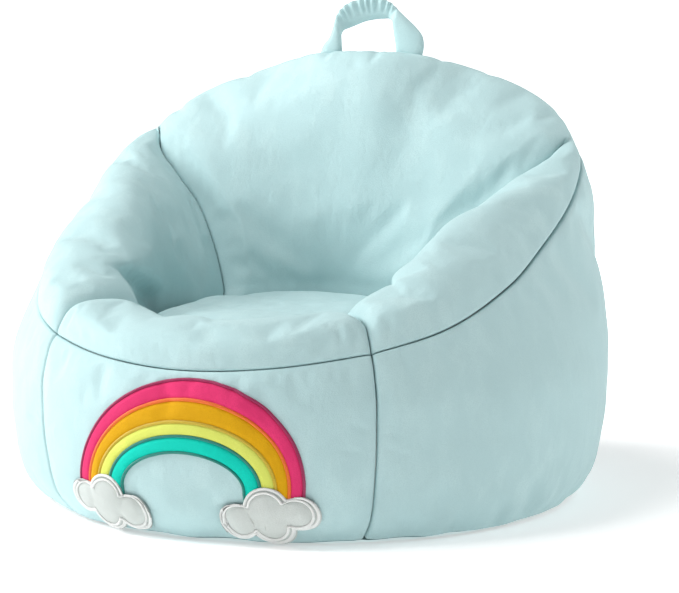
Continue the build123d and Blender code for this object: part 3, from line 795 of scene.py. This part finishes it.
stuffing("front_roll_fibre", "front", ["front_roll_stuffing"])
stuffing("left_arm_fibre", "left", ["left_arm_stuffing"])
stuffing("right_arm_fibre", "right", ["right_arm_stuffing"])
stuffing("backrest_fibre", "back", ["backrest_stuffing"])


# ---------------------------------------------------------------- applique on the front
def surface_of(obj):
    """The finished surface of a piece, to lay others on."""
    shown = obj.evaluated_get(bpy.context.evaluated_depsgraph_get())
    mesh = shown.to_mesh()
    corners = [tuple(p.vertices) for p in mesh.polygons]
    tree = BVHTree.FromPolygons([v.co.copy() for v in mesh.vertices], corners)
    shown.to_mesh_clear()
    return tree


bpy.context.view_layer.update()
front_surface = surface_of(front_cover)


def laid_on(tree, across, up, height, toward=1.0):
    """Points over a surface that faces -Y, or +Y where toward is -1, as far out as height."""
    found = np.zeros(np.shape(across) + (3,))
    for i in np.ndindex(np.shape(across)):
        start = Vector((across[i] * MM, -toward * 0.6, max(up[i], 1.5) * MM))
        place, normal, _, _ = tree.ray_cast(start, Vector((0, toward, 0)))
        if place is None:
            place, normal, _, _ = tree.find_nearest(Vector((across[i] * MM, -toward * 0.2, up[i] * MM)))
        if normal.y * toward > 0:
            normal = -normal
        found[i] = np.array(place) / MM + np.array(normal) * height[i]
    return found


FOOT_HEIGHT = 42.0
SKEW = 0.14
HALF_WIDTHS = (92.5, 82.5, 73.0, 62.0, 50.0)
RISES = (83.2, 68.9, 52.4, 41.7, 29.0)
LEG = 14.0  # the bands run on down this far, under the clouds


LEG_SHARE = 0.08  # of the half turn, added at each end of an arc for its leg
LAP = 0.6  # how far each band runs on under the stitching


def arc_point(width, rise, share):
    """A point on a rainbow arc: up one leg, over the top and down the other."""
    turn = (share * (1 + 2 * LEG_SHARE) - LEG_SHARE) * pi
    past = np.maximum(-turn, 0) + np.maximum(turn - pi, 0)
    turn = np.clip(turn, 0, pi)
    above = rise * np.sin(turn)
    return width * np.cos(turn) + SKEW * above, FOOT_HEIGHT + above - LEG * past / (LEG_SHARE * pi)


def rainbow_band(name, i, material):
    """One padded band between two neighbouring arcs."""
    count, across = 150, 12
    share, v = np.meshgrid(np.linspace(0, 1, count), np.linspace(0, 1, across + 1), indexing="ij")
    width = HALF_WIDTHS[i] - LAP + v * (HALF_WIDTHS[i + 1] - HALF_WIDTHS[i] + 2 * LAP)
    rise = RISES[i] - LAP + v * (RISES[i + 1] - RISES[i] + 2 * LAP)
    x, z = arc_point(width, rise, share)
    height = 0.2 + 1.9 * np.clip(1 - np.abs(2 * v - 1) ** 3.0, 0, 1) ** 0.7
    points = laid_on(front_surface, x, z, height)
    return piece(f"rainbow_{name}", points, grid_faces(count, across + 1), material,
                 replaced=[f"rainbow_{name}_band"])


STITCH_PITCH = 1.15


def satin_stitch(name, line, tree, width, height, material):
    """A raised row of thread laid side by side across a line of (across, up) points."""
    line = np.asarray(line, float)
    run = np.r_[0, np.cumsum(np.linalg.norm(np.diff(line, axis=0), axis=1))]
    stitches = int(run[-1] / STITCH_PITCH)
    at = np.linspace(0, run[-1], stitches * 3 + 1)
    x, z = np.interp(at, run, line[:, 0]), np.interp(at, run, line[:, 1])
    dx, dz = np.gradient(x), np.gradient(z)
    size = np.hypot(dx, dz) + TINY
    ribs = 0.62 + 0.38 * np.abs(np.cos(pi * at / STITCH_PITCH))
    v = np.linspace(-1, 1, 7)
    wide = width / 2 * (0.93 + 0.07 * np.cos(2 * pi * at / STITCH_PITCH))
    across = x[:, None] - (dz / size * wide)[:, None] * v
    up = z[:, None] + (dx / size * wide)[:, None] * v
    lift = 0.3 + height * ribs[:, None] * np.sqrt(np.clip(1 - v**2, 0, 1))
    points = laid_on(tree, across, up, lift)
    return piece(name, points, grid_faces(len(at), len(v)), material)


BANDS = (("pink", PINK), ("mustard", MUSTARD), ("yellow", YELLOW), ("teal", TEAL))
for i, (name, material) in enumerate(BANDS):
    rainbow_band(name, i, material)
# Arc, width, thread and slot.
ARC_STITCHES = ((0, 2.6, MAGENTA_THREAD, "pink_velour"), (1, 3.2, ORANGE_THREAD, "mustard_velour"),
                (2, 3.4, GOLD_THREAD, "mustard_velour"), (3, 2.8, TEAL_THREAD, "teal_velour"),
                (4, 2.6, TEAL_THREAD, "teal_velour"))
for i, width, material, slot in ARC_STITCHES:
    x, z = arc_point(HALF_WIDTHS[i], RISES[i], np.linspace(0.03, 0.97, 160))
    satin_stitch(f"arc_stitch_{i + 1}", np.stack([x, z], 1), front_surface, width, 1.9, material)

CLOUD_REACH, CLOUD_HEIGHT = 67.0, 26.0
CLOUD_LOBES = ((-25.0, -6.0, 14.5), (-1.0, 5.0, 17.0), (1.0, -8.0, 16.0), (23.0, 2.0, 13.0))


def cloud_edge(turns, lobes):
    """Distance from the cloud's middle to its outline in each direction."""
    found = np.zeros(len(turns))
    for across, up, radius in lobes:
        toward = across * np.cos(turns) + up * np.sin(turns)
        inside = radius**2 - (across**2 + up**2 - toward**2)
        found = np.maximum(found, np.where(inside > 0, toward + np.sqrt(np.maximum(inside, 0)), 0))
    return found


BORDERS = ((1.2, 2.4), (4.4, 1.8))  # distance in from the edge, and width


def cloud(name, side, replaced):
    """A padded cloud with a double stitched border. Side is 1 on the right and -1 on the left."""
    around, rings = 180, 18
    middle = side * CLOUD_REACH
    lobes = [(side * across, up, radius) for across, up, radius in CLOUD_LOBES]
    turns = np.linspace(0, 2 * pi, around, endpoint=False)
    edge = cloud_edge(turns, lobes)
    edge = (np.roll(edge, 1) + 2 * edge + np.roll(edge, -1)) / 4
    share = np.linspace(0, 1, rings + 1)[::-1]
    reach = share[:, None] * edge
    lobe = 0
    x, z = reach * np.cos(turns), reach * np.sin(turns)
    for across, up, radius in lobes:
        lobe = np.maximum(lobe, 1 - ((x - across) ** 2 + (z - up) ** 2) / radius**2)
    height = 2.2 + 2.6 * np.sqrt(np.clip(lobe, 0, 1)) * fade(1 - share, 0.06, 0.3)[:, None]
    height = height * fade(1 - share, -0.09, 0.04)[:, None]
    points = laid_on(front_surface, middle + x, CLOUD_HEIGHT + z, height)
    patch = piece(name, points, grid_faces(rings + 1, around, wrap=True), CLOUD,
                  replaced=[replaced])
    bpy.context.view_layer.update()
    surface = surface_of(patch)
    ring = np.r_[turns, turns[:1]]
    closed = np.r_[edge, edge[:1]]
    for number, (inset, width) in enumerate(BORDERS):
        reach = closed - inset
        line = np.stack([middle + reach * np.cos(ring), CLOUD_HEIGHT + reach * np.sin(ring)], 1)
        satin_stitch(f"{name}_border_{number + 1}", line, surface, width, 1.3, WHITE_THREAD)


cloud("left_cloud", -1, "left_cloud_patch")
cloud("right_cloud", 1, "right_cloud_patch")

# ---------------------------------------------------------------- carry handle
# Outer and inner edge of the strap as (across, above the crest), from the left foot over to the right.
STRAP = (((-46.5, -10), (-24.5, -12)), ((-42.5, 1.5), (-25.2, 0)), ((-36.8, 8.4), (-25.5, 6)),
         ((-33.8, 16), (-25.6, 11)), ((-31.5, 24), (-24.5, 14.4)), ((-27.5, 31), (-20.5, 16.4)),
         ((-19, 37.8), (-14, 19)), ((-6.3, 41), (-6, 22)), ((5, 41.8), (2, 23.6)), ((14, 41), (10, 24.4)),
         ((21, 37.7), (17, 24.2)), ((27.5, 31.5), (20.8, 22)), ((35, 24.8), (21.8, 17)),
         ((43, 17.6), (22.8, 11)), ((48.8, 10), (23.8, 5)), ((50, 3.5), (24.6, 0)), ((47.5, -10), (25, -12)))
HANDLE_Y = 124.0


def strap():
    """A soft flat loop: its legs face forward, and its top is set back and gathered into small folds."""
    count, across = 150, 14
    share = np.linspace(0, 1, count)
    outer = along([s[0] for s in STRAP], share)
    inner = along([s[1] for s in STRAP], share)
    v = np.linspace(0, 1, across + 1)
    flat_points = outer[:, None] + (inner - outer)[:, None] * v[None, :, None]
    top = fade(share, 0.20, 0.30) * (1 - fade(share, 0.62, 0.70))
    thick = 1.7 * (1 - np.abs(2 * v - 1) ** 5)[None, :] + 0.25
    phase = 2 * pi * share * 23 + 0.9 * np.sin(share * 41)
    gathers = 1.3 * top[:, None] * np.sin(phase)[:, None] * (1 - fade(v, 0.15, 0.75))[None, :]
    legs = (1 - top)[:, None] * (1.2 * np.sin(pi * v)[None, :])
    depth = HANDLE_Y + 3.0 * top[:, None] - 7.0 * top[:, None] * (0.5 - v)[None, :] - legs
    sides = []
    for side in (-1, 1):
        y = depth + gathers + side * thick
        sides.append(np.stack([flat_points[..., 0], y, CREST_HEIGHT + 1.5 + flat_points[..., 1]], -1))
    loop = np.concatenate([sides[0], sides[1][:, ::-1]], 1)
    ring = loop.shape[1]
    faces = grid_faces(count, ring, wrap=True)
    faces.append(tuple(range(ring))[::-1])
    faces.append(tuple((count - 1) * ring + c for c in range(ring)))
    return piece("carry_strap", loop, faces, AQUA, body=None, replaced=["carry_handle"])


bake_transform(strap())

# ---------------------------------------------------------------- zip and label
coil_low, coil_high = (np.array(v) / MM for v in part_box("zipper_coil"))
COIL_RADIUS = coil_high[1] - 1.0
coil_first = atan2(coil_low[1], coil_high[0]) + 0.004
COIL_PITCH = 1.45
COIL_OFFSET = 0.75  # of the upper and lower row of loops from the middle


def zip_coil():
    """Two rows of nylon loops that lock into each other along the closed zip."""
    rings, sides = 7, 8
    corners = rings * sides
    bead = []
    for up in np.linspace(-1, 1, rings):
        size = np.sqrt(max(1 - up**2, 0.04))
        for turn in np.linspace(0, 2 * pi, sides, endpoint=False):
            bead.append((0.62 * size * cos(turn), 0.85 * size * sin(turn), 1.75 * up))
    bead = np.array(bead)
    bead_faces = grid_faces(rings, sides, wrap=True)
    bead_faces += [tuple(range(sides))[::-1], tuple(range(corners - sides, corners))]
    turns = np.arange(coil_first, pi - coil_first, COIL_PITCH / COIL_RADIUS)
    points, faces = [], []
    middle = (coil_low[2] + coil_high[2]) / 2
    for i, turn in enumerate(turns):
        side = COIL_OFFSET if i % 2 else -COIL_OFFSET
        local = bead + [0, 0, middle + side]
        x = (COIL_RADIUS + local[:, 1]) * cos(turn) - local[:, 0] * sin(turn)
        y = (COIL_RADIUS + local[:, 1]) * sin(turn) + local[:, 0] * cos(turn)
        faces += [tuple(f + len(points) * corners for f in face) for face in bead_faces]
        points.append(np.stack([x, y, local[:, 2]], 1))
    return piece("zip_coil_loops", np.concatenate(points), faces, COIL, replaced=["zipper_coil"])


zip_coil()
bpy.context.view_layer.update()
rear_surface = surface_of(rear_cover)
label_low, label_high = (np.array(v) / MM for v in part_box("care_label"))


def care_label():
    """A blank satin label, sewn down along its top edge and standing a little off the wall below."""
    across_label, down_label = (label_low[0], label_high[0]), (label_high[2], label_low[2])
    x, z = np.meshgrid(np.linspace(*across_label, 25), np.linspace(*down_label, 21), indexing="ij")
    down = (label_high[2] - z) / (label_high[2] - label_low[2])
    front = laid_on(rear_surface, x, z, 0.5 + 1.5 * down**2, -1.0)
    back = laid_on(rear_surface, x, z, 0.2 + 1.4 * down**2, -1.0)
    rows, across = x.shape
    rim = list(range(across)) + [r * across + across - 1 for r in range(1, rows)]
    rim += [(rows - 1) * across + c for c in reversed(range(across - 1))]
    rim += [r * across for r in reversed(range(1, rows - 1))]
    count = rows * across
    faces = grid_faces(rows, across)
    faces += [tuple(f + count for f in reversed(q)) for q in grid_faces(rows, across)]
    faces += [(a, b, b + count, a + count) for a, b in zip(rim, rim[1:] + rim[:1])]
    points = np.concatenate([front.reshape(-1, 3), back.reshape(-1, 3)])
    return piece("blank_label", points, faces, LABEL, replaced=["care_label"])


care_label()


def slider_bridge():
    """The little arch on the slider that a pull tab would hang from."""
    low, high = (np.array(v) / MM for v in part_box("zipper_slider"))
    middle = (low + high) / 2
    turn = atan2(middle[1], middle[0])
    reach = np.hypot(middle[0], middle[1]) + 0.2
    out, side = np.array([cos(turn), sin(turn), 0]), np.array([-sin(turn), cos(turn), 0])
    points = []
    rings, sides = 13, 8
    for a in np.linspace(0, pi, rings):
        centre = out * (reach + 2.2 * sin(a)) + side * 3.6 * cos(a) + [0, 0, middle[2]]
        along_out = out * sin(a) + side * cos(a)
        for b in np.linspace(0, 2 * pi, sides, endpoint=False):
            points.append(centre + 0.55 * cos(b) * along_out + np.array([0, 0, 1.1 * sin(b)]))
    faces = grid_faces(rings, sides, wrap=True)
    faces += [tuple(range(sides))[::-1], tuple(range((rings - 1) * sides, rings * sides))]
    return piece("slider_bridge", np.array(points), faces, METAL, body="zip_slider", levels=1)


slider_bridge()

KEPT = {"zipper_tape_upper": TAPE, "zipper_tape_lower": TAPE, "zipper_stops": METAL, "zipper_slider": METAL}
for name, material in KEPT.items():
    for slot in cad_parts[name].material_slots:
        slot.material = material

# ---------------------------------------------------------------- floor, light and camera
FLOOR_REACH, FLOOR_DROP = 30000, 0.5
floor_corners = ((-1, -1), (1, -1), (1, 1), (-1, 1))
floor_points = [(x * FLOOR_REACH, y * FLOOR_REACH, -FLOOR_DROP) for x, y in floor_corners]
floor = new_object("floor", floor_points, [(0, 1, 2, 3)])
floor_finish, floor_tree, floor_place, floor_shader = new_material("floor_paint_and_painted_glow")
floor_marks = noise_of(floor_tree, floor_place, 3.0)
floor_tree.links.new(mix_of(floor_tree, floor_marks, (0.93, 0.93, 0.93, 1), (0.95, 0.95, 0.95, 1)),
                     floor_shader.inputs["Base Color"])
floor_shader.inputs["Roughness"].default_value = 0.9
# painted light: the floor glows white, as a light source that is no lamp
floor_shader.inputs["Emission Color"].default_value = (1.0, 1.0, 1.0, 1)
distance = floor_tree.nodes.new("ShaderNodeVectorMath")
distance.operation = "LENGTH"
floor_tree.links.new(floor_place, distance.inputs[0])
glow = floor_tree.nodes.new("ShaderNodeMapRange")  # painted light: the floor glows, paler away from the chair, like a lit studio sweep
glow.inputs["From Min"].default_value = 0.35
glow.inputs["From Max"].default_value = 1.6
glow.inputs["To Min"].default_value = 0.35
glow.inputs["To Max"].default_value = 1.0
floor_tree.links.new(distance.outputs["Value"], glow.inputs["Value"])
floor_tree.links.new(glow.outputs["Result"], floor_shader.inputs["Emission Strength"])
floor.data.materials.append(floor_finish)

world = bpy.data.worlds.new("studio")
world.use_nodes = True
world.node_tree.nodes["Background"].inputs["Color"].default_value = (1.0, 1.0, 1.0, 1)
world.node_tree.nodes["Background"].inputs["Strength"].default_value = 0.32
bpy.context.scene.world = world


def softbox(name, place, aim, size, power):
    """A square studio lamp; place, aim and size in metres, power in watts."""
    light = bpy.data.lights.new(name, "AREA")
    light.energy = power
    light.size = size
    obj = bpy.data.objects.new(name, light)
    obj.location = place
    obj.rotation_euler = (Vector(aim) - Vector(place)).to_track_quat("-Z", "Y").to_euler()
    bpy.context.scene.collection.objects.link(obj)


softbox("key_light", (-2.7, -0.75, 1.35), (0, 0, 0.2), 1.1, 70)
softbox("right_light", (2.2, 1.7, 0.9), (0, 0, 0.15), 1.0, 24)
softbox("top_light", (-0.9, -0.8, 2.6), (0, 0, 0.2), 1.2, 42)
bpy.context.scene.view_settings.view_transform = "Standard"  # base colours show as they are

CAMERA_TURN, CAMERA_TILT, CAMERA_DISTANCE = radians(23.4), radians(7.3), 2200.0
CAMERA_RIGHT, CAMERA_UP = 24.0, 157.3  # how far the camera stands right of and above the frame's origin
right = np.array([cos(CAMERA_TURN), sin(CAMERA_TURN), 0])
up = np.array([-sin(CAMERA_TURN) * sin(CAMERA_TILT), cos(CAMERA_TURN) * sin(CAMERA_TILT), cos(CAMERA_TILT)])
away = np.cross(right, up)
camera = bpy.data.objects.new("camera", bpy.data.cameras.new("camera"))
camera.data.sensor_width = 36.0
camera.data.lens = 141.49
place = (right * CAMERA_RIGHT + up * CAMERA_UP + away * CAMERA_DISTANCE) * MM
camera.matrix_world = Matrix(((right[0], up[0], away[0], place[0]), (right[1], up[1], away[1], place[1]),
                              (right[2], up[2], away[2], place[2]), (0, 0, 0, 1)))
bpy.context.scene.collection.objects.link(camera)
bpy.context.scene.camera = camera

bpy.context.view_layer.update()
